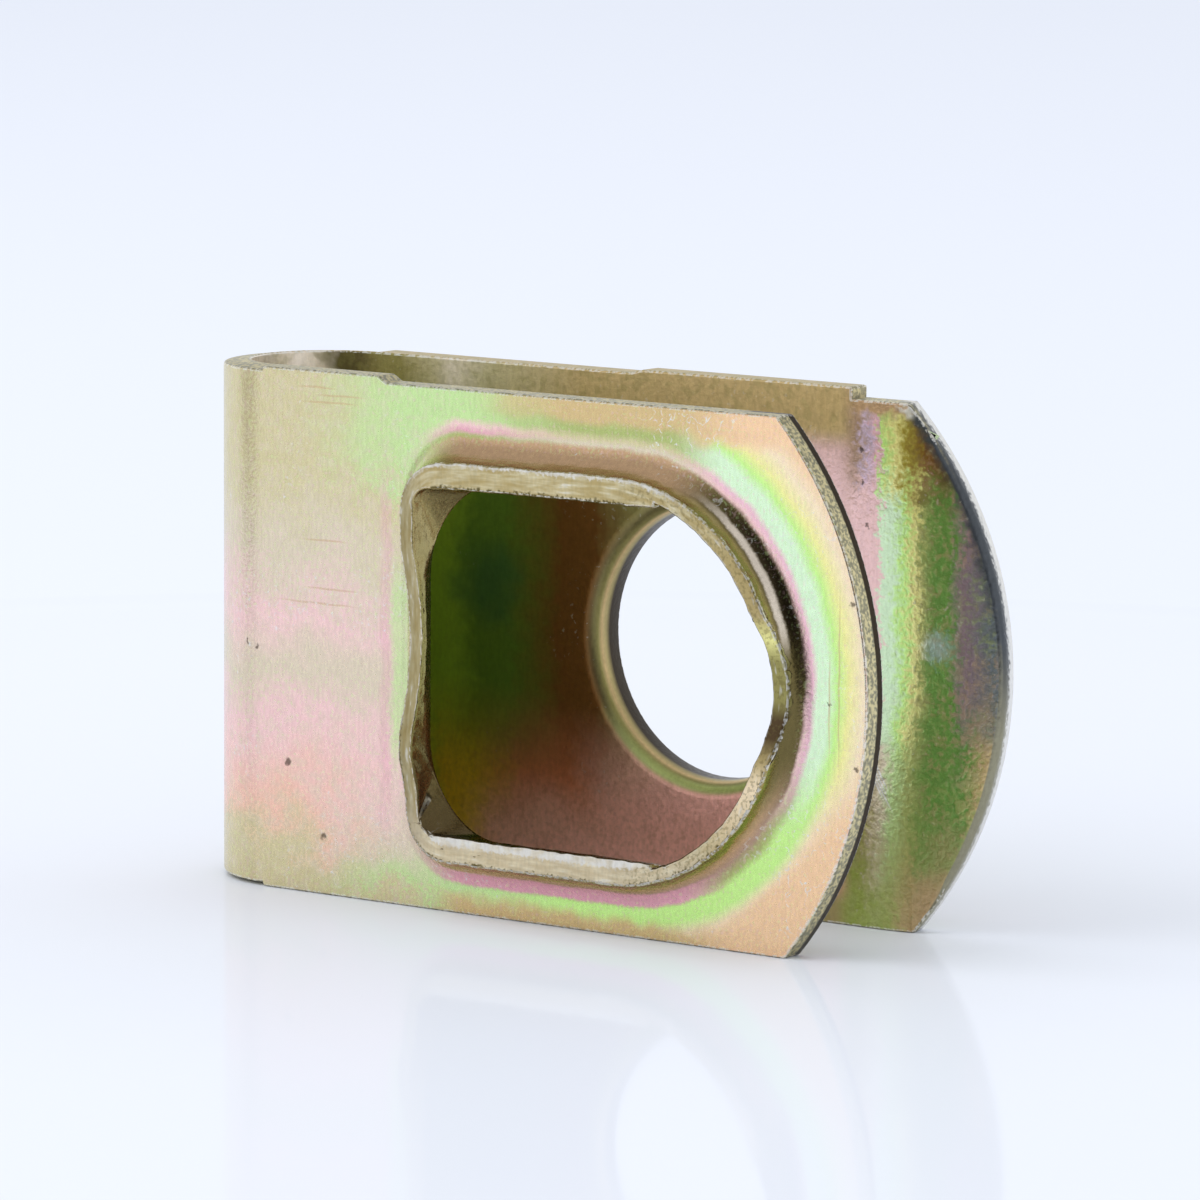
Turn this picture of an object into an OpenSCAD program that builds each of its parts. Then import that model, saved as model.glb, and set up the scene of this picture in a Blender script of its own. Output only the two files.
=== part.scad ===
// Lock tab: one strip of sheet folded into a clip with two legs, standing on its long lower edges.
// The near leg has a drawn collar with one rounded side.
// The far leg has a round drawn hole and a flared tip.
// Millimetres. X runs from the bend to the tips, Y from the near leg to the far leg, Z up from the base.

/* [Sheet] */
// Thickness of the sheet
sheet_t = 1.5; // [1.2:0.1:1.8]
// Height of the strip on edge
strip_h = 28.6; // [28:0.1:32]

/* [Bend] */
// Outside width over the two legs
fold_w = 11.6; // [10:0.1:14]
// Shrinking of the edges along the outside of the bend
bend_draw = 0.2; // [0.05:0.05:0.4]

/* [Near leg] */
// Length from the outside of the bend to the tip
near_len = 45.9; // [42:0.1:52]
// Radius of the rounded end
near_end_r = 21; // [19:0.1:24]
// Drop of the middle of both rounded ends below the middle of the strip
end_low = 0.6; // [0:0.1:1.2]
// Distance from the bend to the step in the top edge
near_step_x = 13.8; // [9:0.1:18]
// Depth of the step in the top edge
near_step = 0.35; // [0.1:0.05:0.6]
// Length of the slope at that step
near_ramp = 0.6; // [0.2:0.1:1.5]

/* [Collar opening] */
// Sheet between the opening and the tip
end_land = 5.55; // [4.5:0.05:7]
// Length of the opening
opening_len = 22.55; // [20:0.05:24]
// Height between the level sides
opening_h = 18.7; // [18.2:0.1:19.2]
// Radius inside the rounded side
arch_r = 10.05; // [9.8:0.05:10.3]
// Drop of the middle of the opening below the middle of the strip
opening_low = 0.6; // [0:0.1:1]
// Radius inside the two square corners, at the rim
corner_r = 1; // [0.6:0.1:1.4]
// Radius inside the two square corners, at the foot of the wall
corner_foot_r = 5; // [4:0.1:6]

/* [Collar wall] */
// Height of the rim above the outer face of the leg
rim_rise = 1.4; // [1.2:0.1:1.7]
// Height of the rim at its highest corner
corner_rise = 2; // [1.8:0.1:2.6]
// Height of the rim at the low place in the rounded side
dip_rise = 0.7; // [0.5:0.1:1.1]
// Length of the low place in the rounded side
dip_len = 8; // [6:0.1:10]
// Length over which the level sides come down from the corners
level_run = 7.2; // [5:0.1:9]
// Length of the low place in the upright side
side_len = 10; // [8:0.1:11]
// Length over which the lower corner comes down
low_corner_run = 4.2; // [3:0.1:5]
// Thickness of the rim along the level sides
rim_t = 1.45; // [1.2:0.05:1.6]
// Thickness of the rim along the upright side
side_t = 0.95; // [0.8:0.05:1.2]
// Thickness of the rim along the rounded side
arch_t = 0.9; // [0.8:0.05:1]
// Radius outside the two square corners
corner_out_r = 2.8; // [2.2:0.1:3.2]
// Radius of the hollow at the foot of the wall
root_r = 1.5; // [1.2:0.1:1.7]
// Radius of the rounding into the opening on the inner face
lead_r = 2.9; // [2.6:0.1:3.2]
// Length of the nick where the rounded side meets a level side
nick = 0.1; // [0.05:0.05:0.3]

/* [Far leg] */
// Distance from the near tip back to the raised part of the top edge
rise_back = 22.7; // [20:0.1:26]
// Distance from the near tip back to the end of the raised part
drop_back = 8.2; // [7.4:0.1:10]
// Height of the raised part above the strip
far_rise = 0.2; // [0.1:0.05:0.5]
// Length of the slope up to the raised part
far_ramp = 0.8; // [0.2:0.1:2]
// Drop of the top edge of the tip below the strip
tip_drop = 0.45; // [0.2:0.05:0.8]

/* [Hole] */
// Diameter of the hole
hole_d = 14.9; // [13:0.1:16]
// Distance from the near tip back to the middle of the hole
hole_back = 17.45; // [16:0.05:19]
// Drop of the middle of the hole below the middle of the strip
hole_low = 0.05; // [0:0.05:0.8]
// Radius of the rounding into the hole
hole_lead_r = 1; // [0.6:0.1:1.1]
// Height of the hole's wall above the outer face
hole_rise = 0.6; // [0.4:0.1:1.5]
// Thickness of the hole's wall
hole_t = 1.1; // [0.8:0.1:1.4]
// Radius of the hollow at the foot of the hole's wall
hole_root_r = 0.4; // [0.2:0.05:0.4]

/* [Flared tip] */
// Distance from the near tip back to the start of the flare
flare_back = 6.5; // [6:0.1:7]
// Angle of the flare
flare_angle = 14; // [8:1:20]
// Radius of the flare on the inner face
flare_r = 12; // [8:0.5:14]
// Length of the flat tip beyond the flare
tip_len = 4.5; // [4:0.1:6]
// Radius of the rounded tip
tip_end_r = 21.5; // [19:0.1:24]

/* [Hidden] */
$fn = 128;
metal = [0.74, 0.68, 0.44];
// Amount that joined solids run into each other
lap = 0.6;
// Reach of a cutting solid past a face
past = 1;
bend_ro = fold_w / 2;
bend_ri = bend_ro - sheet_t;
far_y = fold_w - sheet_t;
mid_z = strip_h / 2;
end_z = mid_z - end_low;
opening_z = mid_z - opening_low;
hole_z = mid_z - hole_low;
// Places along the legs, measured from the bend
opening_end_x = near_len - end_land;
arch_x = opening_end_x - arch_r;
opening_x = opening_end_x - opening_len;
hole_x = near_len - hole_back;
rise_x = near_len - rise_back;
drop_x = near_len - drop_back;
flare_x = near_len - flare_back;
// Half heights of the collar inside and outside
in_half = opening_h / 2;
out_half = in_half + rim_t;
side_x = opening_x - side_t;
corner_x = opening_x + corner_foot_r;
corner_out_x = side_x + corner_out_r;
// Outside, the rounded side runs smoothly into the level sides
arch_out_x = opening_end_x + arch_t - out_half;
// Inside, the rounded side meets the level sides at a nick
in_angle = asin(in_half / arch_r);
in_meet_x = arch_x + arch_r * cos(in_angle) + nick;
nick_angle = atan((in_half + lead_r) / (in_meet_x - arch_x));
// Places where the rim comes down
level_x = opening_x + corner_r + level_run;
side_dip_z = opening_z + corner_r;
dip_z = opening_z + corner_r / 2;
dip_x = arch_x + arch_r * cos(45);
// Ends of the flare along the tip
tip_x = flare_x + flare_r * sin(flare_angle) + tip_len * cos(flare_angle);
tip_y = far_y + flare_r * (1 - cos(flare_angle)) + tip_len * sin(flare_angle) + sheet_t * cos(flare_angle);
tip_h = strip_h - tip_drop;
flare_y = far_y + flare_r;
// Flat steps that make up the flare
flare_steps = 7;
// Middle of the whole piece over the base
mid_x = max(tip_x, near_len) / 2;
mid_y = (tip_y - corner_rise) / 2;

// Radius of an arc with a given half chord and depth
function arc_r(half, depth) = (half * half + depth * depth) / (2 * depth);

// Half section of a wall that stands on a face with a hollow foot: across, and up from the face
module foot_half(half, rise, root) {
    translate([0, -lap])
        square([half + root, lap]);
    square([half, rise]);
    translate([half, 0])
        difference() {
            square([root, root]);
            translate([root, root])
                circle(root);
        }
}

// Half section of the opening through a wall, rounded where it leaves the sheet's other face
module lead_half(half, rise, lead) {
    translate([0, -sheet_t])
        square([half, sheet_t + rise + past]);
    translate([half, -sheet_t])
        difference() {
            square([lead, lead]);
            translate([lead, lead])
                circle(lead);
        }
    translate([0, -sheet_t - past])
        square([half + lead, past]);
}

// Level sides: a half section and its mirror image, run along X from x0 to x1
module level_sides(x0, x1) {
    translate([x0, 0, opening_z])
        rotate([180, -90, 0])
            linear_extrude(height = x1 - x0)
                union() {
                    children();
                    mirror([1, 0])
                        children();
                }
}

// Upright side: a half section turned towards the bend, run along Z over twice the given half length
module upright_run(x0, half_run) {
    translate([x0, 0, opening_z - half_run])
        rotate([0, 0, 180])
            linear_extrude(height = 2 * half_run)
                children();
}

// Turned part of a wall on the near face, from one angle through another
module turned(x0, z0, from, through) {
    translate([x0, 0, z0])
        rotate([90, 0, 0])
            rotate([0, 0, from])
                rotate_extrude(angle = through)
                    children();
}

module collar_body() {
    run = out_half - corner_out_r;
    level_sides(corner_out_x, arch_out_x)
        foot_half(out_half, corner_rise, root_r);
    upright_run(corner_out_x, run)
        foot_half(corner_out_r, corner_rise, root_r);
    turned(corner_out_x, opening_z + run, 90, 90)
        foot_half(corner_out_r, corner_rise, root_r);
    turned(corner_out_x, opening_z - run, 180, 90)
        foot_half(corner_out_r, corner_rise, root_r);
    turned(arch_out_x, opening_z, -90, 180)
        foot_half(out_half, corner_rise, root_r);
}

module collar_opening() {
    run = in_half - corner_foot_r;
    level_sides(corner_x, in_meet_x)
        lead_half(in_half, corner_rise, lead_r);
    upright_run(corner_x, run)
        lead_half(corner_foot_r, corner_rise, lead_r);
    turned(corner_x, opening_z + run, 90, 90)
        lead_half(corner_foot_r, corner_rise, lead_r);
    turned(corner_x, opening_z - run, 180, 90)
        lead_half(corner_foot_r, corner_rise, lead_r);
    turned(arch_x, opening_z, -nick_angle, 2 * nick_angle)
        lead_half(arch_r, corner_rise, lead_r);
    corner_openings();
}

// The two square corners of the opening, wide at the foot of the wall and sharper at the rim
module corner_openings() {
    top = corner_rise - rim_rise + past;
    square_run = corner_foot_r - corner_r;
    translate([opening_x, 0, opening_z])
        rotate([90, 0, 0])
            for (side = [0, 1])
                mirror([0, side, 0])
                    translate([0, in_half, 0])
                        mirror([0, 1, 0])
                            hull($fn = 48) {
                                translate([corner_foot_r, corner_foot_r, -lap])
                                    cylinder(r = corner_foot_r, h = lap);
                                translate([corner_r, corner_r, rim_rise])
                                    cylinder(r = corner_r, h = top);
                                translate([corner_r, 0, rim_rise])
                                    cube([square_run, corner_foot_r, top]);
                                translate([0, corner_r, rim_rise])
                                    cube([corner_foot_r, square_run, top]);
                            }
}

// A round cut that lowers the rim to a given rise, with its axis along X
module low_place(x0, len, z0, half, rise, depth) {
    r = arc_r(half, depth);
    translate([x0, -rise - r, z0])
        rotate([0, 90, 0])
            cylinder(r = r, h = len);
}

// Cuts that bring the rim down from its highest corner and into its low places
module rim_cuts() {
    drop = corner_rise - rim_rise;
    level_r = arc_r(level_run, drop);
    start_x = side_x - root_r;
    reach = arch_out_x + out_half + root_r;
    translate([level_x, -corner_rise - past, 0])
        cube([reach - level_x, drop + past, strip_h]);
    translate([level_x, -rim_rise - level_r, 0])
        cylinder(r = level_r, h = strip_h);
    low_place(start_x, corner_x - start_x, side_dip_z, side_len / 2, rim_rise, drop);
    low_place(start_x, level_x - start_x, opening_z - in_half, low_corner_run, rim_rise, drop);
    low_place(dip_x, reach - dip_x, dip_z, dip_len / 2, dip_rise, rim_rise - dip_rise);
}

module near_leg() {
    end_x = near_len - near_end_r;
    step_z = strip_h - near_step;
    difference() {
        union() {
            translate([0, sheet_t, 0])
                rotate([90, 0, 0])
                    linear_extrude(height = sheet_t)
                        intersection() {
                            polygon([
                                [bend_ro, 0],
                                [near_len + past, 0],
                                [near_len + past, step_z],
                                [near_step_x + near_ramp, step_z],
                                [near_step_x, strip_h],
                                [bend_ro, strip_h]
                            ]);
                            union() {
                                translate([end_x, end_z])
                                    circle(near_end_r);
                                translate([bend_ro, -past])
                                    square([end_x - bend_ro, strip_h + 2 * past]);
                            }
                        }
            difference() {
                collar_body();
                rim_cuts();
            }
        }
        collar_opening();
    }
}

// Half round bend, its edges drawn in along the outside
module bend() {
    translate([bend_ro, bend_ro, 0])
        rotate([0, 0, 90])
            rotate_extrude(angle = 180)
                polygon([
                    [bend_ri, 0],
                    [bend_ro, bend_draw],
                    [bend_ro, strip_h - bend_draw],
                    [bend_ri, strip_h]
                ]);
}

// Points along one face of the flare, seen from above, from the leg to the tip or back
function flare_line(r, back) = [
    for (i = [0:flare_steps])
        let (a = flare_angle * abs(back * flare_steps - i) / flare_steps)
            [flare_x + r * sin(a), flare_y - r * cos(a)]
];

// Point on one face beyond the end of the tip, seen from above
function flare_end(r) = [
    flare_x + r * sin(flare_angle) + (tip_len + past) * cos(flare_angle),
    flare_y - r * cos(flare_angle) + (tip_len + past) * sin(flare_angle)
];

module far_sheet() {
    top = strip_h + far_rise;
    translate([0, fold_w, 0])
        rotate([90, 0, 0])
            linear_extrude(height = sheet_t)
                polygon([
                    [bend_ro, 0],
                    [flare_x, 0],
                    [flare_x, tip_h],
                    [drop_x, tip_h],
                    [drop_x, top],
                    [rise_x + far_ramp, top],
                    [rise_x, strip_h],
                    [bend_ro, strip_h]
                ]);
    linear_extrude(height = tip_h)
        polygon(concat(
            [[bend_ro, far_y]],
            flare_line(flare_r, 0),
            [flare_end(flare_r), flare_end(flare_r - sheet_t)],
            flare_line(flare_r - sheet_t, 1),
            [[bend_ro, fold_w]]
        ));
}

// Space that the far leg keeps: everything before the tip, and a round end square to the flare
module far_outline() {
    reach = 3 * sheet_t + flare_r;
    translate([0, 0, -past])
        cube([hole_x, 2 * fold_w, strip_h + 2 * past + far_rise]);
    translate([flare_x, flare_y, 0])
        rotate([0, 0, flare_angle])
            translate([tip_len - tip_end_r, 0, end_z])
                rotate([90, 0, 0])
                    cylinder(r = tip_end_r, h = reach);
}

module far_leg() {
    difference() {
        union() {
            intersection() {
                far_sheet();
                far_outline();
            }
            translate([hole_x, fold_w, hole_z])
                rotate([-90, 0, 0])
                    rotate_extrude()
                        foot_half(hole_d / 2 + hole_t, hole_rise, hole_root_r);
        }
        translate([hole_x, fold_w, hole_z])
            rotate([-90, 0, 0])
                rotate_extrude()
                    lead_half(hole_d / 2, hole_rise, hole_lead_r);
    }
}

// The whole folded strip, with its middle over the origin
module lock_tab() {
    color(metal)
        translate([-mid_x, -mid_y, 0])
            union() {
                bend();
                near_leg();
                far_leg();
            }
}

lock_tab();
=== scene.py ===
import math
import bmesh
import bpy
from mathutils import Matrix, Vector, noise

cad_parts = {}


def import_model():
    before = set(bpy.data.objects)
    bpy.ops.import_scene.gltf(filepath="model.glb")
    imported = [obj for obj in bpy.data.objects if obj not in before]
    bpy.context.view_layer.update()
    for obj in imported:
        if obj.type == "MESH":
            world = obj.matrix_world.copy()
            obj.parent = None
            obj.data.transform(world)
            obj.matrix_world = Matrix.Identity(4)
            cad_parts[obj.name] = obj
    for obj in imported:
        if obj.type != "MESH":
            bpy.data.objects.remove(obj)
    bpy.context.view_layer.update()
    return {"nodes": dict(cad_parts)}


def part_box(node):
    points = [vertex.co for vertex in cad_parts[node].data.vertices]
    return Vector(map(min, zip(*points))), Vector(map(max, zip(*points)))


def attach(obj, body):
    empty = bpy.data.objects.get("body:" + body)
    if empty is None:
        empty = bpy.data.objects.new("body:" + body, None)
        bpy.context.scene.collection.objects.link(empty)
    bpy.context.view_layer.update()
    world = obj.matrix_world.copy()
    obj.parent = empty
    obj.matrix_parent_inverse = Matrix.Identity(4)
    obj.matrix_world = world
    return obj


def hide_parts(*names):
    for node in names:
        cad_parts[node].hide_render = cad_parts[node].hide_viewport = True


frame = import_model()

MM = 0.001
LOW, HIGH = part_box("lock_tab")

# Sizes of the clip, in millimetres from its own corner:
# X from the outside of the bend, Y from the outer face of the near leg, Z from the base
SHEET_T = 1.5
STRIP_H = 28.6
FAR_Y = 10.1
BEND_R = 5.8
RIM_CORNER_RISE = 2.0
CORNER = Vector((LOW[0], LOW[1] + RIM_CORNER_RISE * MM, LOW[2]))

# Outside of the collar: a box with round corners, and a half round side about its middle
COLLAR_MIDDLE = 28
COLLAR_X = 30.45
COLLAR_Z = 13.7
COLLAR_R = 10.8
COLLAR_SIDE_X = 16.85
COLLAR_CORNER_R = 2.8

# Hole in the far leg
HOLE_X = 28.45
HOLE_Z = 14.25
HOLE_R = 7.45

# Where the flared tip of the far leg starts, and the round outline of its end
LIP_X = 39.4
LIP_END_X = 46.67
LIP_OUTLINE_R = 21.5
LIP_SLOPE = math.tan(math.radians(14))

# Rounding of the sheared edges, and of the tip's end, which is rolled over further
EDGE_R = 0.13 * MM
LIP_END_R = 0.4 * MM
LIP_ROLL_REACH = 12.5
SHARP = math.radians(40)


def tint(red, green, blue):
    """A colour given as 0 to 255 in display values, as the linear colour that a shader takes."""
    return (*(((c / 255 + 0.055) / 1.055) ** 2.4 for c in (red, green, blue)), 1)


CREAM = tint(250, 236, 218)
BEIGE = tint(226, 212, 184)
STRAW = tint(218, 206, 160)
SALMON = tint(250, 200, 178)
PINK = tint(250, 208, 204)
ROSE = tint(236, 172, 186)
BLUSH = tint(246, 196, 206)
LILAC = tint(222, 198, 222)
MEADOW = tint(202, 230, 158)
LIME = tint(206, 248, 146)
PALE_GREEN = tint(224, 250, 208)
YELLOW = tint(248, 242, 160)
PEACH = tint(254, 232, 194)
ORANGE = tint(252, 210, 166)
TAN = tint(218, 190, 136)
MAUVE = tint(188, 156, 134)
CLAY = tint(206, 170, 132)
OLIVE = tint(158, 150, 92)
KHAKI = tint(176, 160, 108)
FERN = tint(180, 190, 118)
LEAF = tint(150, 178, 58)
MOSS = tint(106, 134, 48)
PINE = tint(116, 160, 80)
TEAL = tint(64, 104, 62)
GOLDEN = tint(178, 162, 72)
AMBER = tint(226, 180, 50)
BROWN = tint(128, 84, 38)
RUST = tint(216, 130, 92)
BRICK = tint(246, 182, 166)
GOLD = tint(188, 168, 116)
WHEAT = tint(220, 208, 168)
SILVER = tint(236, 234, 228)
STEEL = tint(152, 148, 124)
UMBER = tint(112, 100, 62)
SEPIA = tint(92, 74, 52)
DARK = tint(58, 48, 34)
INK = tint(80, 84, 88)
VIOLET = tint(156, 132, 144)
SLATE = tint(122, 130, 134)
ICE = tint(190, 206, 214)

# The room: its light, its floor, and its walls and ceiling as they are mirrored
ROOM_LIGHT = (0.93, 0.95, 1.0, 1)
FLOOR = (0.83, 0.86, 0.92, 1)
WALL = (0.93, 0.96, 1.0, 1)
CEILING = (0.62, 0.63, 0.65, 1)

# Random patterns of the plating, as features per millimetre and levels of finer detail
BROAD = (0.16, 1)
DRIFT = (0.5, 1)
SCRATCH = (0.9, 2)
MOTTLE = (1.5, 1)
SCUFF = (3.6, 2)
FINE = (5.0, 2)
STREAK = (1.0, 2)
GRAIN = (1.0, 1)
GRAIN_STRETCH = (6, 6, 1.5)
DRIFT_SHIFT = (40, 0, 0)

# Tints up the near leg, beside the bend and beside the collar
UP_BY_BEND = [
    (0, STRAW), (2.5, STRAW), (4.5, SALMON), (9, PINK), (12, BEIGE),
    (15.5, PINK), (19, BEIGE), (23, STRAW), (28.6, STRAW),
]
UP_BY_COLLAR = [
    (0, STRAW), (1.5, MEADOW), (3.5, BEIGE), (7, PINK), (12, BEIGE),
    (15, PINK), (18, BEIGE), (21.5, STRAW), (24, MEADOW), (28.6, MEADOW),
]

# Tints down the collar's wall and outwards from its foot: beside its upright half, above and round its
# round half, and below it
OUT_UPRIGHT = [
    (-1.7, KHAKI), (-0.6, CLAY), (0.7, CLAY), (0.95, FERN), (1.15, ROSE), (1.4, PINK), (1.75, MEADOW),
    (4, MEADOW),
]
OUT_TOP = [
    (-1.7, KHAKI), (-0.6, CLAY), (0.7, CLAY), (1.0, BEIGE), (1.3, STRAW), (1.7, FERN), (2.2, FERN),
    (2.9, TAN), (4.5, TAN),
]
OUT_ROUND = [
    (-1.6, OLIVE), (-1.0, KHAKI), (-0.7, UMBER), (-0.1, UMBER), (0.75, UMBER), (1.0, PINK), (1.3, BLUSH),
    (1.65, PALE_GREEN), (2.3, PALE_GREEN), (2.9, LIME), (3.6, YELLOW), (4.5, PEACH), (5.6, ORANGE),
]
OUT_LOW = [
    (-1.6, KHAKI), (-0.6, OLIVE), (0.3, CLAY), (0.8, MAUVE), (1.5, FERN), (2.0, LIME), (2.8, LIME),
    (3.6, PEACH), (4.5, ORANGE),
]

# Tints of the collar's inner walls and of its round rim, from low to high: the walls' sepia and umber low
# down are painted shade, and the rim's peach band is a painted highlight
UP_WALLS = [(3, SEPIA), (8, UMBER), (12, OLIVE), (17, OLIVE), (20, KHAKI), (24, KHAKI)]
UP_ROUND_RIM = [
    (4, GOLD), (9, PEACH), (10.5, GOLD), (11.6, SEPIA), (12.6, SEPIA), (13.6, OLIVE), (15.6, OLIVE),
    (16.8, YELLOW), (18, GOLD), (23, GOLD),
]

# Tints along the far leg's inner face, at middle height, low down and at the top
FAR_MIDDLE = [
    (8, LEAF), (10.5, LEAF), (12.5, MOSS), (14.5, MOSS), (18.5, BROWN), (21, BROWN), (24, OLIVE),
    (31, MAUVE), (35, PINK),
]
FAR_LOW = [(8, LEAF), (10.5, AMBER), (12.5, AMBER), (15.5, RUST), (19, RUST), (22, BRICK), (34, BRICK)]
FAR_TOP = [
    (1.5, CREAM), (3.0, CREAM), (4.0, UMBER), (4.8, UMBER), (6.2, OLIVE), (8, OLIVE), (9.5, WHEAT),
    (10.5, CREAM), (13, WHEAT), (20, TAN), (37, TAN),
]

# Tints down the hole's edge and outwards from it, on the inner and on the outer face. On the inner face
# the tan on the rounding is a painted highlight and the dark deeper down the wall is painted shade.
OUT_HOLE = [
    (-2.1, DARK), (-1.2, DARK), (-0.85, KHAKI), (-0.5, TAN), (-0.2, OLIVE), (0.4, UMBER), (1.2, UMBER),
]
OUT_BACK = [(0, GOLD), (0.9, TAN), (1.2, OLIVE), (1.6, ROSE), (2.0, MEADOW), (2.8, MEADOW)]

# Tints along the flared tip, at middle height, low down and at the top: the plating's tints, with a
# painted highlight in pale green and lime where the tip starts to bend, and painted dark reflection in the
# pine, violet, slate, brown and sepia beyond
LIP_MIDDLE = [
    (36.5, MAUVE), (37.8, PINK), (39.4, PINK), (39.8, PALE_GREEN), (40.4, PALE_GREEN), (41.1, LIME),
    (41.7, YELLOW), (42.1, FERN), (42.6, PINE), (43.6, PINE), (44.4, VIOLET), (45.8, SLATE),
]
LIP_LOW = [
    (36.5, OLIVE), (38.6, KHAKI), (39.7, BEIGE), (40.6, MEADOW), (41.5, FERN), (42.4, PINE), (44.4, PINE),
    (45.6, TAN),
]
LIP_TOP = [
    (36.5, MAUVE), (38, MAUVE), (38.7, LILAC), (39.3, BLUSH), (39.7, LIME), (40.6, YELLOW), (41.3, GOLDEN),
    (42.2, BROWN), (44, SEPIA),
]

# Dark pits on the near face and on the far leg beside the tip, as place and radius
NEAR_PITS = [
    (7.62, 7.03, 0.3), (10.08, 3.2, 0.26), (4.65, 13.43, 0.16), (5.43, 13.16, 0.16),
    (44.96, 18.88, 0.24), (45.26, 10.36, 0.2), (43.53, 13.57, 0.12),
]
FAR_PITS = [(38.4, 25.5, 0.2), (38.5, 23.8, 0.14), (38.8, 21.5, 0.16)]

# Fine rubbed lines, as middle, half length and the other coordinate: level and upright ones on the near
# face, and slanted ones on the tip, measured along and across their own slant
LEVEL_RUBS = [
    (9.7, 3.5, 15.95), (10.7, 2.3, 16.75), (10.2, 2.0, 19.4), (10.4, 2.6, 26.9), (11.2, 2.2, 27.3),
    (9.6, 1.8, 27.7),
]
UPRIGHT_RUBS = [(14.8, 6.1, 44.15), (13.4, 3.6, 43.55)]
SLANTED_RUBS = [(13.8, 1.2, 37.9), (14.2, 1.6, 38.06), (13.6, 1.4, 38.22), (13.4, 1.2, 38.4)]
SLANT = math.radians(59)

# Middles of the darkest green patch on the far leg's inner face and of a pale spot on the tip
DEEP_SPOT = (13.5, 16.5, 0)
PALE_SPOT = (43, 15.3, 0)


class Graph:
    """Adds shader nodes and links them, so that a pattern reads like a formula."""

    def __init__(self, tree):
        self.tree = tree

    def add(self, kind, **settings):
        """A new node with the given settings."""
        node = self.tree.nodes.new(kind)
        for name, value in settings.items():
            setattr(node, name, value)
        return node

    def plug(self, socket, value):
        """Links an output to a socket, or sets a plain value on it."""
        if isinstance(value, bpy.types.NodeSocket):
            self.tree.links.new(value, socket)
        else:
            socket.default_value = value

    def math(self, operation, *values):
        node = self.add("ShaderNodeMath", operation=operation)
        for socket, value in zip(node.inputs, values):
            self.plug(socket, value)
        return node.outputs[0]

    def chain(self, operation, first, *others):
        """One operation over all the values, from the first to the last."""
        for other in others:
            first = self.math(operation, first, other)
        return first

    def times(self, *values):
        return self.chain("MULTIPLY", *values)

    def plus(self, *values):
        return self.chain("ADD", *values)

    def minus(self, a, b):
        return self.math("SUBTRACT", a, b)

    def most(self, *values):
        return self.chain("MAXIMUM", *values)

    def away(self, value, middle):
        """How far a value lies from a middle."""
        return self.math("ABSOLUTE", self.minus(value, middle))

    def reach(self, a, b):
        """Length of the straight line over the two sides a and b."""
        return self.vector("LENGTH", self.join(a, b))

    def rise(self, value, start, end, base=0.0, top=1.0):
        """A smooth step from base at start to top at end."""
        node = self.add("ShaderNodeMapRange", interpolation_type="SMOOTHSTEP")
        for name, given in (
            ("Value", value),
            ("From Min", start),
            ("From Max", end),
            ("To Min", base),
            ("To Max", top),
        ):
            self.plug(node.inputs[name], given)
        return node.outputs["Result"]

    def fall(self, value, start, end, top=1.0):
        """A smooth step from top at start down to 0 at end."""
        return self.rise(value, start, end, top, 0.0)

    def band(self, value, middle, half, soft):
        """1 within half of the middle, and down to 0 over a soft border."""
        return self.fall(self.away(value, middle), half, half + soft)

    def ramp(self, value, stops):
        """Colours along a value, from a list of places and colours."""
        start, end = stops[0][0], stops[-1][0]
        node = self.add("ShaderNodeValToRGB")
        place = self.add("ShaderNodeMapRange")
        self.plug(place.inputs["Value"], value)
        place.inputs["From Min"].default_value = start
        place.inputs["From Max"].default_value = end
        self.plug(node.inputs[0], place.outputs["Result"])
        bar = node.color_ramp.elements
        while len(bar) < len(stops):
            bar.new(1.0)
        for element, (at, colour) in zip(bar, stops):
            element.position = (at - start) / (end - start)
            element.color = colour
        return node.outputs[0]

    def mix(self, factor, a, b, blend="MIX"):
        """Colour a where the factor is 0, and b where it is 1."""
        node = self.add("ShaderNodeMix", data_type="RGBA", blend_type=blend)
        self.plug(node.inputs[0], factor)
        self.plug(node.inputs[6], a)
        self.plug(node.inputs[7], b)
        return node.outputs[2]

    def split(self, vector):
        node = self.add("ShaderNodeSeparateXYZ")
        self.plug(node.inputs[0], vector)
        return node.outputs

    def join(self, *values):
        node = self.add("ShaderNodeCombineXYZ")
        for socket, value in zip(node.inputs, values):
            self.plug(socket, value)
        return node.outputs[0]

    def vector(self, operation, *values):
        node = self.add("ShaderNodeVectorMath", operation=operation)
        for socket, value in zip(node.inputs, values):
            self.plug(socket, value)
        return node.outputs["Value" if operation in ("LENGTH", "DISTANCE") else "Vector"]

    def noise(self, vector, scale, detail):
        """Soft random values about 0.5, in features of about 1 / scale."""
        node = self.add("ShaderNodeTexNoise")
        self.plug(node.inputs["Vector"], vector)
        node.inputs["Scale"].default_value = scale
        node.inputs["Detail"].default_value = detail
        return node.outputs[0]

    def stray(self, value, *noises):
        """A value shifted by noises about 0.5, each by up to about half its size either way."""
        for noise_value, size in noises:
            value = self.math("MULTIPLY_ADD", noise_value, size, value)
        return self.plus(value, -sum(size for _, size in noises) / 2)


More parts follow.
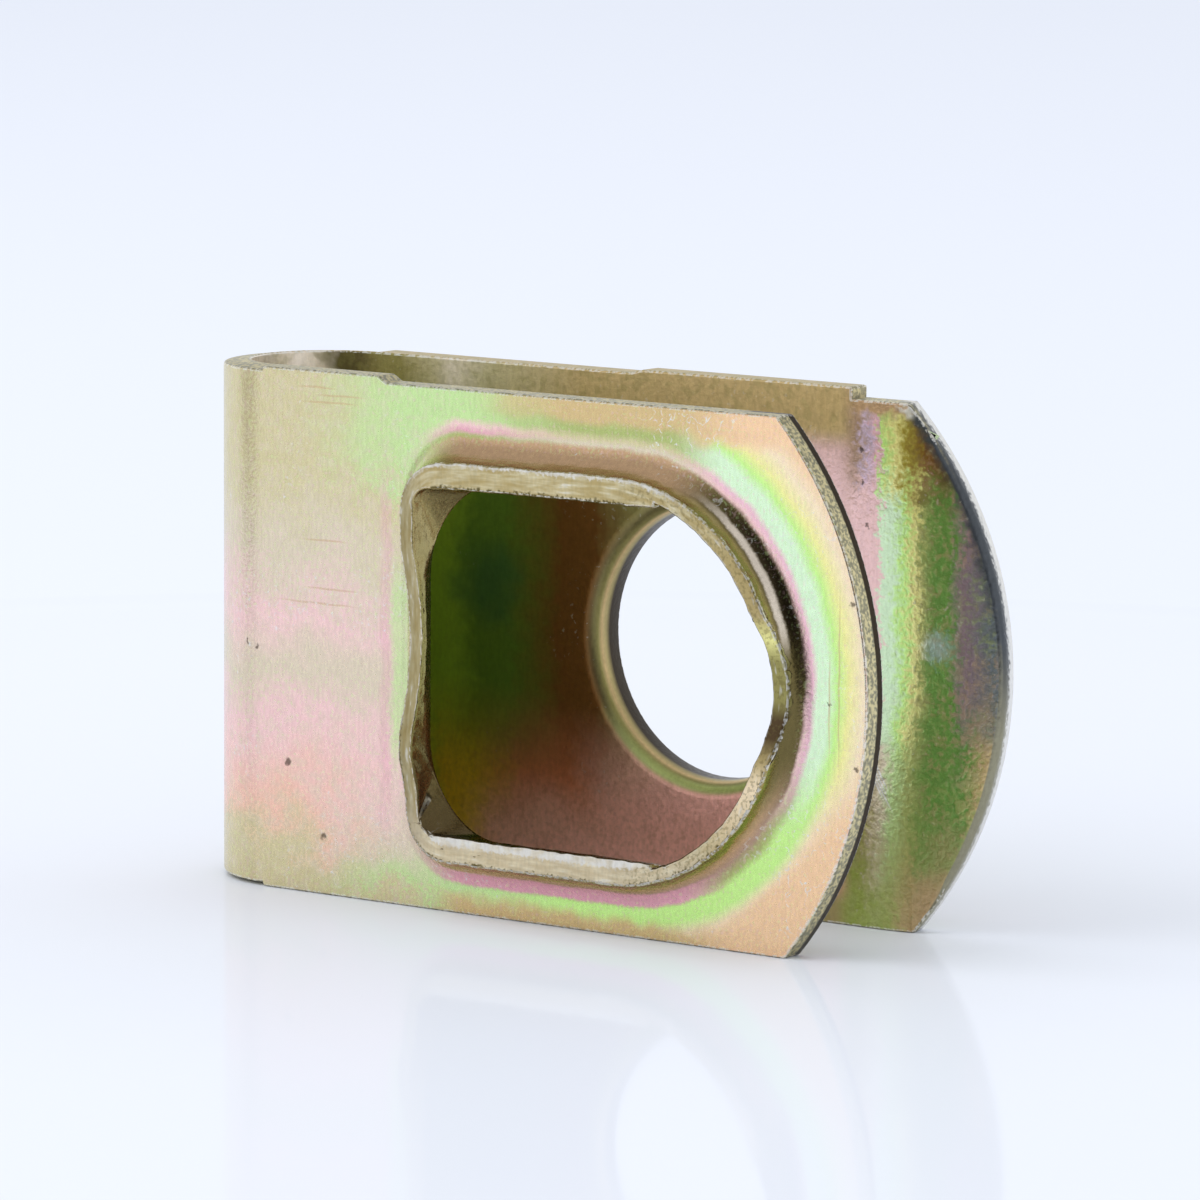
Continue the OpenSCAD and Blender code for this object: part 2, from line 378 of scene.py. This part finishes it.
class Place:
    """Where a point of the surface is, in millimetres from the clip's corner, and which way it faces."""

    def __init__(self, g):
        spot = g.add("ShaderNodeTexCoord")
        moved = g.vector("SUBTRACT", spot.outputs["Object"], CORNER)
        self.mm = g.vector("MULTIPLY", moved, (1 / MM, 1 / MM, 1 / MM))
        self.x, self.y, self.z = g.split(self.mm)
        self.nx, self.ny, self.nz = g.split(spot.outputs["Normal"])
        self.flat = g.join(self.x, self.z)
        self.broad = g.noise(self.mm, *BROAD)
        self.drift = g.noise(g.vector("ADD", self.mm, DRIFT_SHIFT), *DRIFT)
        self.mottle = g.noise(self.mm, *MOTTLE)
        self.grain = g.noise(g.vector("MULTIPLY", self.mm, GRAIN_STRETCH), *GRAIN)
        self.scuff = g.noise(self.mm, *SCUFF)
        self.fine = g.noise(self.mm, *FINE)
        self.collar = collar_distance(g, self.x, self.z)
        self.hole = g.minus(g.vector("DISTANCE", self.flat, (HOLE_X, HOLE_Z, 0)), HOLE_R)


def collar_distance(g, x, z):
    """Distance from the outside of the collar's wall, less than 0 within it."""
    up = g.away(z, COLLAR_Z)
    round_side = g.minus(g.reach(g.minus(x, COLLAR_X), up), COLLAR_R)
    across = g.minus(COLLAR_SIDE_X + COLLAR_CORNER_R, x)
    along = g.minus(up, COLLAR_R - COLLAR_CORNER_R)
    corner = g.reach(g.most(across, 0.0), g.most(along, 0.0))
    within = g.math("MINIMUM", g.most(across, along), 0.0)
    square_side = g.plus(corner, within, -COLLAR_CORNER_R)
    past_middle = g.math("GREATER_THAN", x, COLLAR_X)
    return g.plus(g.times(past_middle, round_side), g.times(g.minus(1.0, past_middle), square_side))


def camera():
    """A camera at the photograph's view, with its long lens."""
    azimuth = math.radians(36.81)
    elevation = math.radians(7.67)
    roll = math.radians(0.345)
    distance = 387.62 * MM
    focal_px = 7170.5
    frame_px = 1200
    aim = CORNER + Vector((18, 5, 14)) * MM
    side_shift = -5.654 * MM
    up_shift = -2.286 * MM
    level = math.cos(elevation)
    ahead = Vector((-math.sin(azimuth) * level, math.cos(azimuth) * level, -math.sin(elevation)))
    right = Vector((math.cos(azimuth), math.sin(azimuth), 0))
    up = right.cross(ahead)
    right, up = (
        math.cos(roll) * right + math.sin(roll) * up,
        math.cos(roll) * up - math.sin(roll) * right,
    )
    place = aim - side_shift * right - up_shift * up - distance * ahead
    data = bpy.data.cameras.new("camera")
    data.sensor_width = 36
    data.lens = data.sensor_width * focal_px / frame_px
    data.clip_start = 0.01
    data.clip_end = 20
    obj = bpy.data.objects.new("camera", data)
    obj.matrix_world = Matrix((
        (right.x, up.x, -ahead.x, place.x),
        (right.y, up.y, -ahead.y, place.y),
        (right.z, up.z, -ahead.z, place.z),
        (0, 0, 0, 1),
    ))
    bpy.context.scene.collection.objects.link(obj)
    bpy.context.scene.camera = obj


def new_material(name):
    """A material, and its shader."""
    mat = bpy.data.materials.new(name)
    mat.use_nodes = True
    return mat, mat.node_tree.nodes["Principled BSDF"]


def floor():
    """A wide pale floor, polished where the clip stands, so that it has a faint mirror image there."""
    width = 8.0
    polished_r = 0.06
    plain_r = 0.13
    polish = 0.5
    below = 0.02 * MM
    bpy.ops.mesh.primitive_plane_add(size=width, location=(0, 0, LOW[2] - below))
    obj = bpy.context.object
    obj.name = "floor"
    mat, shader = new_material("floor")
    shader.inputs["Base Color"].default_value = FLOOR
    shader.inputs["Roughness"].default_value = 0.06
    shader.inputs["IOR"].default_value = 1.06
    g = Graph(mat.node_tree)
    x, y, _ = g.split(g.add("ShaderNodeTexCoord").outputs["Object"])
    g.plug(shader.inputs["Specular IOR Level"], g.fall(g.reach(x, y), polished_r, plain_r, polish))
    obj.data.materials.append(mat)


def world():
    """A pale room with even light, whose ceiling is greyer than its walls where it is mirrored."""
    made = bpy.data.worlds.new("world")
    made.use_nodes = True
    g = Graph(made.node_tree)
    shader = made.node_tree.nodes["Background"]
    path = g.add("ShaderNodeLightPath").outputs
    seen = g.most(path["Is Camera Ray"], path["Is Glossy Ray"], path["Is Transmission Ray"])
    up = g.split(g.add("ShaderNodeTexCoord").outputs["Generated"])[2]
    wall_top = 0.25
    ceiling_start = 0.6
    room = g.ramp(up, [(0.0, WALL), (wall_top, WALL), (ceiling_start, CEILING), (1.0, CEILING)])
    g.plug(shader.inputs["Color"], g.mix(seen, ROOM_LIGHT, room))
    bpy.context.scene.world = made


def card(name, start, end, height, shade):
    """A card with soft edges, darker than the room, that stands beside the view and is only mirrored."""
    a = CORNER + Vector((*start, 0)) * MM
    b = CORNER + Vector((*end, 0)) * MM
    up = Vector((0, 0, height * MM))
    mesh = bpy.data.meshes.new(name)
    mesh.from_pydata([a, b, b + up, a + up], [], [(0, 1, 2, 3)])
    obj = bpy.data.objects.new(name, mesh)
    mat, shader = new_material(name)
    shader.inputs["Base Color"].default_value = (0, 0, 0, 1)
    shader.inputs["Specular IOR Level"].default_value = 0
    shader.inputs["Emission Color"].default_value = (shade, shade, shade, 1)
    shader.inputs["Emission Strength"].default_value = 1
    mat.cycles.emission_sampling = "NONE"
    g = Graph(mat.node_tree)
    along, _, high = g.split(g.add("ShaderNodeTexCoord").outputs["Generated"])
    g.plug(shader.inputs["Alpha"], g.times(g.band(along, 0.5, 0.2, 0.3), g.fall(high, 0.4, 1.0)))
    mesh.materials.append(mat)
    obj.visible_camera = False
    obj.visible_diffuse = False
    obj.visible_shadow = False
    bpy.context.scene.collection.objects.link(obj)


def lamp(name, place, size, watts):
    """A soft lamp that gives the floor its light and shadow, and isn't mirrored itself."""
    data = bpy.data.lights.new(name, "AREA")
    data.size = size
    data.energy = watts
    obj = bpy.data.objects.new(name, data)
    obj.location = place
    obj.rotation_euler = (-Vector(place)).to_track_quat("-Z", "Y").to_euler()
    obj.visible_glossy = False
    bpy.context.scene.collection.objects.link(obj)


def in_mm(point):
    """A point of the mesh, in millimetres from the clip's corner."""
    return (point - CORNER) / MM


def step(value, start, end):
    """0 at start, 1 at end, and a smooth rise between them."""
    share = min(max((value - start) / (end - start), 0), 1)
    return share * share * (3 - 2 * share)


def hump(value, middle, width):
    """1 at the middle, and down to next to nothing at twice the width from it."""
    return math.exp(-((value - middle) / width) ** 2)


def welded_form():
    """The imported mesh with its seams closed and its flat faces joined."""
    seam = 0.01 * MM
    flat_angle = math.radians(0.3)
    form = bmesh.new()
    form.from_mesh(frame["nodes"]["lock_tab"].data)
    bmesh.ops.remove_doubles(form, verts=form.verts, dist=seam)
    bmesh.ops.dissolve_limit(form, angle_limit=flat_angle, verts=form.verts, edges=form.edges)
    return form


def is_sharp(edge):
    """Whether an edge is an outer corner, such as a sheared edge."""
    return edge.is_convex and edge.calc_face_angle(0) > SHARP


def ends_lip(edge):
    """Whether an edge joins the flared tip's inner face to its cut end."""
    spot = in_mm(edge.verts[0].co)
    inner, cut = sorted(face.normal.y for face in edge.link_faces)
    level = max(abs(face.normal.z) for face in edge.link_faces)
    middle = all(abs(in_mm(v.co).z - STRIP_H / 2) < LIP_ROLL_REACH for v in edge.verts)
    on_tip = middle and spot.x > LIP_X and spot.y > FAR_Y - 0.5
    return on_tip and inner < -0.9 and abs(cut) < 0.6 and level < 0.9


def round_edges(form, edges, radius, segments):
    """Rounds edges, and gives back the faces of the rounding."""
    made = bmesh.ops.bevel(
        form, geom=edges, offset=radius, offset_type="OFFSET", segments=segments,
        profile=0.5, affect="EDGES", clamp_overlap=False,
    )
    return made["faces"]


def tear_rim(form):
    """Makes the collar's rim uneven, as a torn edge is, and lets its upright side waver."""
    rim_start = -0.2
    longest = 0.4 * MM
    rounds = 6
    fine_tear = 0.06
    coarse_tear = 0.03
    bow = 0.24
    dent = 0.1
    for _ in range(rounds):
        split = [
            edge for edge in form.edges
            if edge.calc_length() > longest and all(in_mm(v.co).y < rim_start for v in edge.verts)
        ]
        bmesh.ops.subdivide_edges(form, edges=split, cuts=1)
        bmesh.ops.triangulate(form, faces=form.faces)
    for vert in form.verts:
        spot = in_mm(vert.co)
        share = step(-spot.y, 0.3, 1.2)
        if share == 0:
            continue
        rough = noise.noise_vector(spot * 1.7) * fine_tear + noise.noise_vector(spot * 0.5) * coarse_tear
        upright = 1 - step(spot.x, 18.2, 20.5)
        rough.x += upright * (bow * hump(spot.z, 15, 4) - dent * hump(spot.z, 8.8, 1.6))
        rough.y = abs(rough.y)
        vert.co += rough * share * MM


def keep_in_box(form):
    """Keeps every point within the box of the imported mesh."""
    for vert in form.verts:
        vert.co = [min(max(c, low), high) for c, low, high in zip(vert.co, LOW, HIGH)]


def dressed_clip():
    """A copy of the clip's mesh with rounded edges and a torn rim."""
    smooth_angle = math.radians(35)
    form = welded_form()
    # Faces of the rounded edges are marked for silver: partly worn bare metal, partly a painted highlight
    # along the edges.
    silvered = form.faces.layers.float.new("silvered")
    round_edges(form, [e for e in form.edges if is_sharp(e) and ends_lip(e)], LIP_END_R, 5)
    for face in round_edges(form, [e for e in form.edges if is_sharp(e)], EDGE_R, 3):
        face[silvered] = 1.0
    bmesh.ops.triangulate(form, faces=form.faces)
    tear_rim(form)
    keep_in_box(form)
    mesh = bpy.data.meshes.new("clip")
    form.to_mesh(mesh)
    form.free()
    mesh.polygons.foreach_set("use_smooth", [True] * len(mesh.polygons))
    mesh.set_sharp_from_angle(angle=smooth_angle)
    obj = bpy.data.objects.new("clip", mesh)
    bpy.context.scene.collection.objects.link(obj)
    normals = obj.modifiers.new("normals", "WEIGHTED_NORMAL")
    normals.keep_sharp = True
    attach(obj, "root")
    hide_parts("lock_tab")
    return obj


# Plating, with highlights and shade painted in where noted. Places are in millimetres in the clip's own
# axes, the noises p.broad to p.fine lie about 0.5, and the last number of a product, or a top, is the most
# of a colour that shows


def plain_plating(g, p):
    """Plating away from the collar: straw and green above, beige and pink below, in soft clouds, with a
    painted highlight in cream along the outside of the bend.
    """
    up = g.stray(p.z, (p.drift, 4), (p.broad, 6), (p.fine, 4))
    along = g.stray(p.x, (p.drift, 4), (p.mottle, 4))
    tints = g.mix(g.rise(along, 8, 16), g.ramp(up, UP_BY_BEND), g.ramp(up, UP_BY_COLLAR))
    clouds = g.rise(p.mottle, 0.4, 0.7, top=0.4)
    tints = g.mix(clouds, tints, BEIGE)
    # Cream along the outside of the bend is a painted highlight.
    bend_painted_highlight = g.fall(p.x, 0.3, 1.6)
    tints = g.mix(bend_painted_highlight, tints, CREAM)
    near = g.fall(p.y, 0.5, 1.0)
    edge = g.stray(p.x, (p.drift, 0.8), (p.fine, 0.5))
    rose_line = g.times(near, g.band(edge, 14.4, 0.1, 0.5), g.band(p.z, 14, 7, 5), 0.35)
    green_strip = g.times(near, g.band(edge, 15.6, 0.4, 0.6), g.band(p.z, 13, 3.5, 3), 0.7)
    return g.mix(green_strip, g.mix(rose_line, tints, ROSE), MEADOW)


def collar_plating(g, p):
    """Bands that follow the collar: drawn metal at its foot, pink, green, yellow and orange outside it,
    and on the upper part of its round half a painted dark reflection beside a cream painted highlight.
    """
    tilt = -0.04
    foot_shift = 0.63
    profile = g.plus(p.collar, p.y, g.times(p.z, tilt), foot_shift)
    outwards = g.stray(profile, (p.drift, 0.5), (p.fine, 0.25))
    round_half = g.rise(g.stray(p.x, (p.drift, 3)), 19, 28)
    tints = g.mix(g.fall(p.z, 6, 11), g.ramp(outwards, OUT_ROUND), g.ramp(outwards, OUT_LOW))
    upper_side = g.band(p.z, 20, 2, 2.5)
    # On the round half's upper part, a dark strip in the foot's rounding is a painted dark reflection, and
    # the cream strip beside it is a painted highlight.
    painted_dark_reflection = g.times(g.band(outwards, 0.35, 0.25, 0.3), upper_side, 0.9)
    tints = g.mix(painted_dark_reflection, tints, DARK)
    painted_highlight_strip = g.times(g.band(outwards, -0.35, 0.12, 0.3), upper_side, 0.9)
    tints = g.mix(painted_highlight_strip, tints, CREAM)
    above = g.times(g.rise(p.z, 22.5, 24.5), g.fall(p.x, 33, 37))
    tints = g.mix(above, tints, g.ramp(outwards, OUT_TOP))
    tints = g.mix(round_half, g.ramp(outwards, OUT_UPRIGHT), tints)
    low_line = g.times(g.band(outwards, 1.3, 0.4, 0.3), g.fall(p.z, 3, 7), g.fall(p.x, 34, 38))
    tints = g.mix(low_line, tints, ROSE)
    level = g.stray(p.z, (p.drift, 2))
    top_edge = g.times(g.rise(level, 26, 27.4), round_half, g.rise(outwards, 1.8, 2.4))
    low_edge = g.times(g.fall(level, 0.4, 1.4), g.rise(p.x, 16, 20))
    warm = g.mix(g.rise(p.x, 33, 39), TAN, ORANGE)
    tints = g.mix(g.most(top_edge, low_edge), tints, warm)
    low_corner = g.times(g.rise(p.x, 34, 40), g.fall(p.z, 3, 9), g.rise(outwards, 3, 4))
    return g.mix(low_corner, tints, ORANGE)


def back_plating(g, p, tints):
    """Outer face of the far leg: bands that follow the hole's collar."""
    outwards = g.stray(p.hole, (p.drift, 0.8))
    return g.mix(g.fall(outwards, 2.2, 3.4), tints, g.ramp(outwards, OUT_BACK))


def inside_plating(g, p):
    """Inner faces: green by the bend, brown towards the hole, red brown low down, a ring at the hole with
    a painted highlight on its rounding and painted shade down its wall.
    """
    along = g.stray(p.x, (p.broad, 3), (p.mottle, 1.5))
    from_deep = g.vector("DISTANCE", p.flat, DEEP_SPOT)
    deep = g.fall(g.stray(from_deep, (p.drift, 4)), 0.5, 3.5, top=0.7)
    middle = g.mix(deep, g.ramp(along, FAR_MIDDLE), TEAL)
    level = g.stray(p.z, (p.broad, 4))
    tints = g.mix(g.fall(level, 4.5, 10.5), middle, g.ramp(along, FAR_LOW))
    red_foot = g.times(g.fall(level, 2.5, 6), g.rise(along, 11, 15))
    tints = g.mix(red_foot, tints, BRICK)
    speckle = g.times(g.rise(p.scuff, 0.4, 0.7), g.fall(p.z, 4, 12), 0.2)
    tints = g.mix(speckle, tints, BROWN)
    tints = g.mix(g.fall(p.z, 1.0, 2.2), tints, KHAKI)
    down_hole = g.plus(g.minus(p.hole, p.y), FAR_Y)
    # The hole's ring holds a painted highlight in tan and painted shade in dark down its wall.
    tints = g.mix(g.fall(down_hole, 0.1, 1.0), tints, g.ramp(down_hole, OUT_HOLE))
    green_arc = g.times(g.band(down_hole, 0.25, 0.1, 0.45), g.fall(p.z, 7, 11))
    tints = g.mix(green_arc, tints, FERN)
    top_strip = g.mix(g.rise(p.mottle, 0.5, 0.65, top=0.25), g.ramp(along, FAR_TOP), OLIVE)
    tints = g.mix(g.rise(p.z, 25.2, 26.6), tints, top_strip)
    near_face = g.mix(g.rise(p.drift, 0.4, 0.6), STRAW, g.mix(p.mottle, BEIGE, MEADOW))
    return g.mix(g.rise(p.y, 2.2, 3.0), near_face, tints)


def wall_plating_and_shade(g, p):
    """Inner walls of the collar's opening: dull gold above, and darker below as painted shade."""
    return g.ramp(g.stray(p.z, (p.drift, 3)), UP_WALLS)


def lip_plating(g, p):
    """Flared tip: pink where it starts, a bright green band, then green, olive and purple. The bright band
    is partly a painted highlight, the darker tints beyond it are partly painted dark reflection, and the
    ink by its upper end and on its rolled end is painted dark reflection.
    """
    along = g.stray(p.x, (p.drift, 1.0), (p.scuff, 1.8))
    up = g.stray(p.z, (p.drift, 5), (p.scuff, 4))
    tints = g.mix(g.fall(up, 8, 13), g.ramp(along, LIP_MIDDLE), g.ramp(along, LIP_LOW))
    tints = g.mix(g.rise(up, 22, 25), tints, g.ramp(along, LIP_TOP))
    flecks = g.rise(g.stray(p.scuff, (p.mottle, 0.4)), 0.4, 0.7)
    patches = g.times(flecks, g.rise(p.x, 41, 42.5), 0.4)
    tints = g.mix(patches, tints, g.mix(g.rise(p.drift, 0.4, 0.6), CLAY, FERN))
    foot = g.mix(g.rise(along, 39.6, 42), g.mix(p.mottle, LEAF, FERN), CLAY)
    tints = g.mix(g.fall(up, 0.5, 6.5, top=0.85), tints, foot)
    from_pale = g.stray(g.vector("DISTANCE", p.flat, PALE_SPOT), (p.scuff, 1.5))
    tints = g.mix(g.fall(from_pale, 0.2, 1.2, top=0.6), tints, ICE)
    outline_middle = (LIP_END_X - LIP_OUTLINE_R, STRIP_H / 2, 0)
    from_edge = g.minus(LIP_OUTLINE_R, g.vector("DISTANCE", p.flat, outline_middle))
    # Ink along the upper part of the tip's end is a painted dark reflection.
    painted_dark_edge = g.times(g.fall(g.stray(from_edge, (p.mottle, 1.0)), 0.3, 1.0), g.rise(p.z, 14, 20))
    tints = g.mix(painted_dark_edge, tints, INK)
    # The rolled end darkens towards the top: a painted dark reflection.
    rolled = g.rise(p.nx, 0.35, 0.5)
    tints = g.mix(rolled, tints, g.mix(g.rise(up, 10, 18), STEEL, INK))
    crown = g.rise(g.stray(p.z, (p.mottle, 1.5)), 27.0, 27.8)
    return g.mix(crown, tints, g.mix(g.rise(along, 40.4, 41.4), CLAY, SILVER))


def rim_metal(g, p):
    """Torn rim of the collar: dull gold with fine bright streaks, painted highlights in silver along its
    upper side, in cream along its low run and in peach low on its round side, and darker along its lower
    side.
    """
    per_width = 4.0
    per_length = 0.5
    around = g.join(
        g.times(p.collar, per_width),
        g.times(g.plus(p.x, p.z), per_length),
        g.times(g.minus(p.x, p.z), per_length),
    )
    streak = g.noise(around, *STREAK)
    gold = g.mix(g.rise(streak, 0.3, 0.75), GOLD, WHEAT)
    upright_side = g.fall(p.x, 17, 19, top=0.45)
    gold = g.mix(upright_side, gold, UMBER)
    # Cream along the rim's low run is a painted highlight.
    low_run_highlight = g.fall(p.z, 4, 7, top=0.3)
    gold = g.mix(low_run_highlight, gold, CREAM)
    # The round side's tints by height hold a painted highlight in peach low down.
    round_side = g.rise(p.x, 36, 38.5)
    gold = g.mix(round_side, gold, g.ramp(p.z, UP_ROUND_RIM))
    rough = g.times(g.rise(p.x, 30, 33), g.rise(p.fine, 0.5, 0.6), 0.4)
    gold = g.mix(rough, gold, UMBER)
    # Silver along the rim's upper side is a painted highlight, and umber makes its lower side darker.
    half_width = 0.7
    turn = g.rise(p.z, 11, 16, -1.0, 1.0)
    upper = g.times(g.plus(g.stray(p.collar, (p.fine, 0.6)), half_width), turn)
    silver_start = g.rise(p.z, 11, 16, 0.15, 0.4)
    straight = g.times(g.rise(g.minus(upper, silver_start), 0.0, 0.2), g.rise(p.x, 17, 18.5))
    silver_highlight = g.times(straight, g.fall(p.x, 33, 36), g.rise(p.mottle, 0.35, 0.6, base=0.5))
    lower_edge = g.fall(upper, -0.65, -0.5)
    gold = g.mix(lower_edge, gold, UMBER)
    bright = g.most(silver_highlight, g.rise(streak, 0.62, 0.72, top=0.5))
    return g.mix(g.times(bright, 0.85), gold, SILVER)


def cut_metal(g, p):
    """Sheared edges: grained by the outer face, dark and torn behind it, and the tip's own end, silver at
    its outer part and darkened towards the top as a painted dark reflection.
    """
    grained = g.mix(g.rise(p.fine, 0.4, 0.6), STEEL, STRAW)
    far_long_edge = g.times(g.rise(p.y, 4, 8), g.fall(p.x, 37, 38))
    grained = g.mix(far_long_edge, grained, g.mix(p.mottle, TAN, OLIVE))
    torn = g.times(g.band(p.y, SHEET_T, 0.5, 0.12), g.rise(p.x, 37, 38))
    tip = g.times(g.rise(p.y, FAR_Y, FAR_Y + 1), g.rise(p.x, 40, 41))
    inner_shift = 0.1
    depth = g.plus(p.y, g.times(p.x, -LIP_SLOPE), inner_shift)
    outer_part = g.rise(g.stray(depth, (p.scuff, 1.0)), 0.5, 1.0)
    # Ink towards the top of the tip's end is a painted dark reflection.
    tip_end = g.mix(outer_part, g.mix(g.rise(p.z, 10, 16), STEEL, INK), SILVER)
    return g.mix(torn, g.mix(tip, grained, tip_end), DARK)


def spots(g, p, places):
    """Small ragged marks at given places."""
    raggedness = 0.5
    core = 0.4
    shift = g.join(g.stray(0.0, (p.fine, raggedness)), g.stray(0.0, (p.scuff, raggedness)))
    ragged = g.vector("ADD", p.flat, shift)
    marks = [
        g.fall(g.vector("DISTANCE", ragged, (x, z, 0)), radius * core, radius) for x, z, radius in places
    ]
    return g.most(*marks)


def lines(g, p, along, across, places):
    """Thin marks at given places, which thin out towards their ends."""
    wavering = 0.15
    half_width = 0.08
    core = 0.4
    path = g.join(along, g.stray(across, (p.drift, wavering)))
    marks = []
    for middle, half, level in places:
        scale = (1 / half, 1 / half_width, 0)
        shift = (-middle / half, -level / half_width, 0)
        outwards = g.vector("LENGTH", g.vector("MULTIPLY_ADD", path, scale, shift))
        marks.append(g.fall(outwards, core, 1.0))
    return g.most(*marks)


def scratches(g, p):
    """Fine bright scratches that wander over a few worn places."""
    path = g.noise(p.mm, *SCRATCH)
    hairline = g.band(path, 0.5, 0.004, 0.01)
    upper_corner = g.times(g.band(p.x, 34.5, 2.0, 2.0), g.band(p.z, 27, 0.8, 0.6))
    lower_corner = g.times(g.band(p.x, 42.5, 1.5, 1.5), g.band(p.z, 5, 3, 2))
    anywhere = g.rise(p.broad, 0.52, 0.62, top=0.5)
    broken = g.rise(p.scuff, 0.45, 0.55)
    return g.times(hairline, broken, g.most(upper_corner, lower_corner, anywhere))


def marks(g, p, m, colour):
    """Pits, rubbed lines, scratches and bright specks."""
    rubs = g.most(lines(g, p, p.x, p.z, LEVEL_RUBS), lines(g, p, p.z, p.x, UPRIGHT_RUBS))
    colour = g.mix(g.times(rubs, m.front, 0.5), colour, CLAY)
    down = g.minus(g.times(p.x, math.cos(SLANT)), g.times(p.z, math.sin(SLANT)))
    across = g.plus(g.times(p.x, math.sin(SLANT)), g.times(p.z, math.cos(SLANT)))
    slanted = lines(g, p, down, across, SLANTED_RUBS)
    shown = g.rise(m.inside, 0, 1, 0.7, 0.2)
    specks = g.times(g.rise(p.broad, 0.45, 0.6), g.rise(p.scuff, 0.66, 0.71), shown, m.flat)
    silvered = g.most(specks, g.times(scratches(g, p), m.front, 0.8), g.times(slanted, m.lip, 0.8))
    colour = g.mix(silvered, colour, SILVER)
    near_pits = g.times(spots(g, p, NEAR_PITS), m.front)
    far_pits = g.times(spots(g, p, FAR_PITS), m.inside)
    return g.mix(g.times(g.most(near_pits, far_pits), 0.75), colour, DARK)


class Masks:
    """Which part of the clip a point is on, each part as a share from 0 to 1."""

    def __init__(self, g, p):
        facing = g.math("ABSOLUTE", p.ny)
        self.flat = g.rise(facing, 0.75, 0.95)
        self.front = g.times(g.fall(p.ny, -0.8, -0.6), g.fall(p.y, 0.5, 0.9))
        collar_foot = g.fall(p.y, -0.12, -0.03)
        self.around = g.times(g.rise(p.x, 15.5, 20), g.most(self.front, collar_foot))
        self.rim = g.times(g.fall(p.ny, -0.9, -0.75), g.fall(p.y, -0.6, -0.45))
        self.back = g.times(g.rise(p.y, FAR_Y - 1, FAR_Y), g.rise(p.ny, 0.3, 0.6))
        from_bend = g.reach(g.minus(p.x, BEND_R), g.minus(p.y, BEND_R))
        bend = g.times(g.fall(p.x, BEND_R - 0.1, BEND_R), g.rise(from_bend, BEND_R - 0.9, BEND_R - 0.5))
        behind_sheet = g.rise(p.y, SHEET_T - 0.12, SHEET_T - 0.04)
        self.inside = g.times(behind_sheet, g.minus(1.0, g.most(self.back, bend)))
        inwards = g.plus(
            g.times(p.nx, g.minus(COLLAR_MIDDLE, p.x)), g.times(p.nz, g.minus(COLLAR_Z, p.z))
        )
        self.walls = g.times(g.rise(inwards, 2.5, 5), g.fall(p.y, SHEET_T - 0.1, SHEET_T - 0.04))
        on_far_leg = g.rise(p.y, FAR_Y - 0.1, FAR_Y)
        self.lip = g.times(g.rise(p.x, 36.8, 38.2), on_far_leg, g.minus(1.0, self.back))
        level = g.rise(g.math("ABSOLUTE", p.nz), 0.6, 0.8)
        near_edge = g.rise(g.away(p.z, STRIP_H / 2), STRIP_H / 2 - 1.1, STRIP_H / 2 - 0.8)
        free_end = g.times(g.rise(p.x, 37.0, 37.5), g.rise(p.collar, 2.4, 2.7))
        self.cut = g.most(g.times(level, near_edge), g.times(g.fall(facing, 0.45, 0.65), free_end))
        # Rounded edges that get silver: partly wear, partly a painted highlight.
        rounded = g.add("ShaderNodeAttribute", attribute_name="silvered").outputs["Fac"]
        self.silvered = g.times(rounded, g.rise(p.fine, 0.42, 0.56), g.minus(1.0, self.walls))


def plated_colour(g, p, m):
    """Colour of the whole clip, from its plating to the wear on top, with the painted highlights and shade
    of the parts above.
    """
    colour = plain_plating(g, p)
    colour = g.mix(m.around, colour, collar_plating(g, p))
    colour = g.mix(m.back, colour, back_plating(g, p, colour))
    colour = g.mix(g.times(g.rise(p.fine, 0.55, 0.7, top=0.3), m.flat), colour, MEADOW)
    colour = g.mix(g.times(g.fall(p.fine, 0.3, 0.45, top=0.3), m.flat), colour, PINK)
    colour = g.mix(m.inside, colour, inside_plating(g, p))
    colour = g.mix(m.walls, colour, wall_plating_and_shade(g, p))
    colour = g.mix(m.lip, colour, lip_plating(g, p))
    colour = marks(g, p, m, colour)
    colour = g.mix(m.rim, colour, rim_metal(g, p))
    colour = g.mix(m.cut, colour, cut_metal(g, p))
    # Silver on the rounded edges is partly wear and partly a painted highlight.
    colour = g.mix(g.times(m.silvered, 0.6), colour, SILVER)
    shade = g.rise(g.plus(g.times(p.grain, 0.5), g.times(p.fine, 0.5)), 0.3, 0.7, 0.9, 1.06)
    return g.mix(1.0, colour, g.vector("MULTIPLY", (1, 1, 1), shade), "MULTIPLY")


def plated_steel():
    """Yellow plating with green and pink tints on sheet metal, with bare rim and cut edges, and with
    highlights and shade painted into its colour in places.
    """
    inside_film = 0.3
    bare_roughness = 0.15
    bump_depth = 0.03 * MM
    hammer_depth = 3.5
    mat, shader = new_material("plated_steel")
    g = Graph(mat.node_tree)
    p = Place(g)
    m = Masks(g, p)
    g.plug(shader.inputs["Base Color"], plated_colour(g, p, m))
    g.plug(shader.inputs["Metallic"], g.minus(1.0, g.times(m.inside, inside_film)))
    satin = g.rise(p.fine, 0.3, 0.7, 0.2, 0.3)
    bare = g.most(m.rim, m.cut, g.times(m.inside, 0.6))
    g.plug(shader.inputs["Roughness"], g.plus(satin, g.times(bare, bare_roughness)))
    bump = g.add("ShaderNodeBump")
    bump.inputs["Strength"].default_value = 0.5
    bump.inputs["Distance"].default_value = bump_depth
    hammered = g.times(m.lip, p.scuff, hammer_depth)
    g.plug(bump.inputs["Height"], g.plus(p.fine, hammered))
    g.plug(shader.inputs["Normal"], bump.outputs[0])
    return mat


camera()
floor()
world()
card("front_card", start=(-5, -90), end=(185, -90), height=110, shade=0.1)
card("left_card", start=(-105, -125), end=(-165, -45), height=80, shade=0.6)
lamp("key", place=(-0.5, -0.6, 0.6), size=0.8, watts=3.0)
clip = dressed_clip()
clip.data.materials.append(plated_steel())
bpy.context.scene.view_settings.view_transform = "Standard"
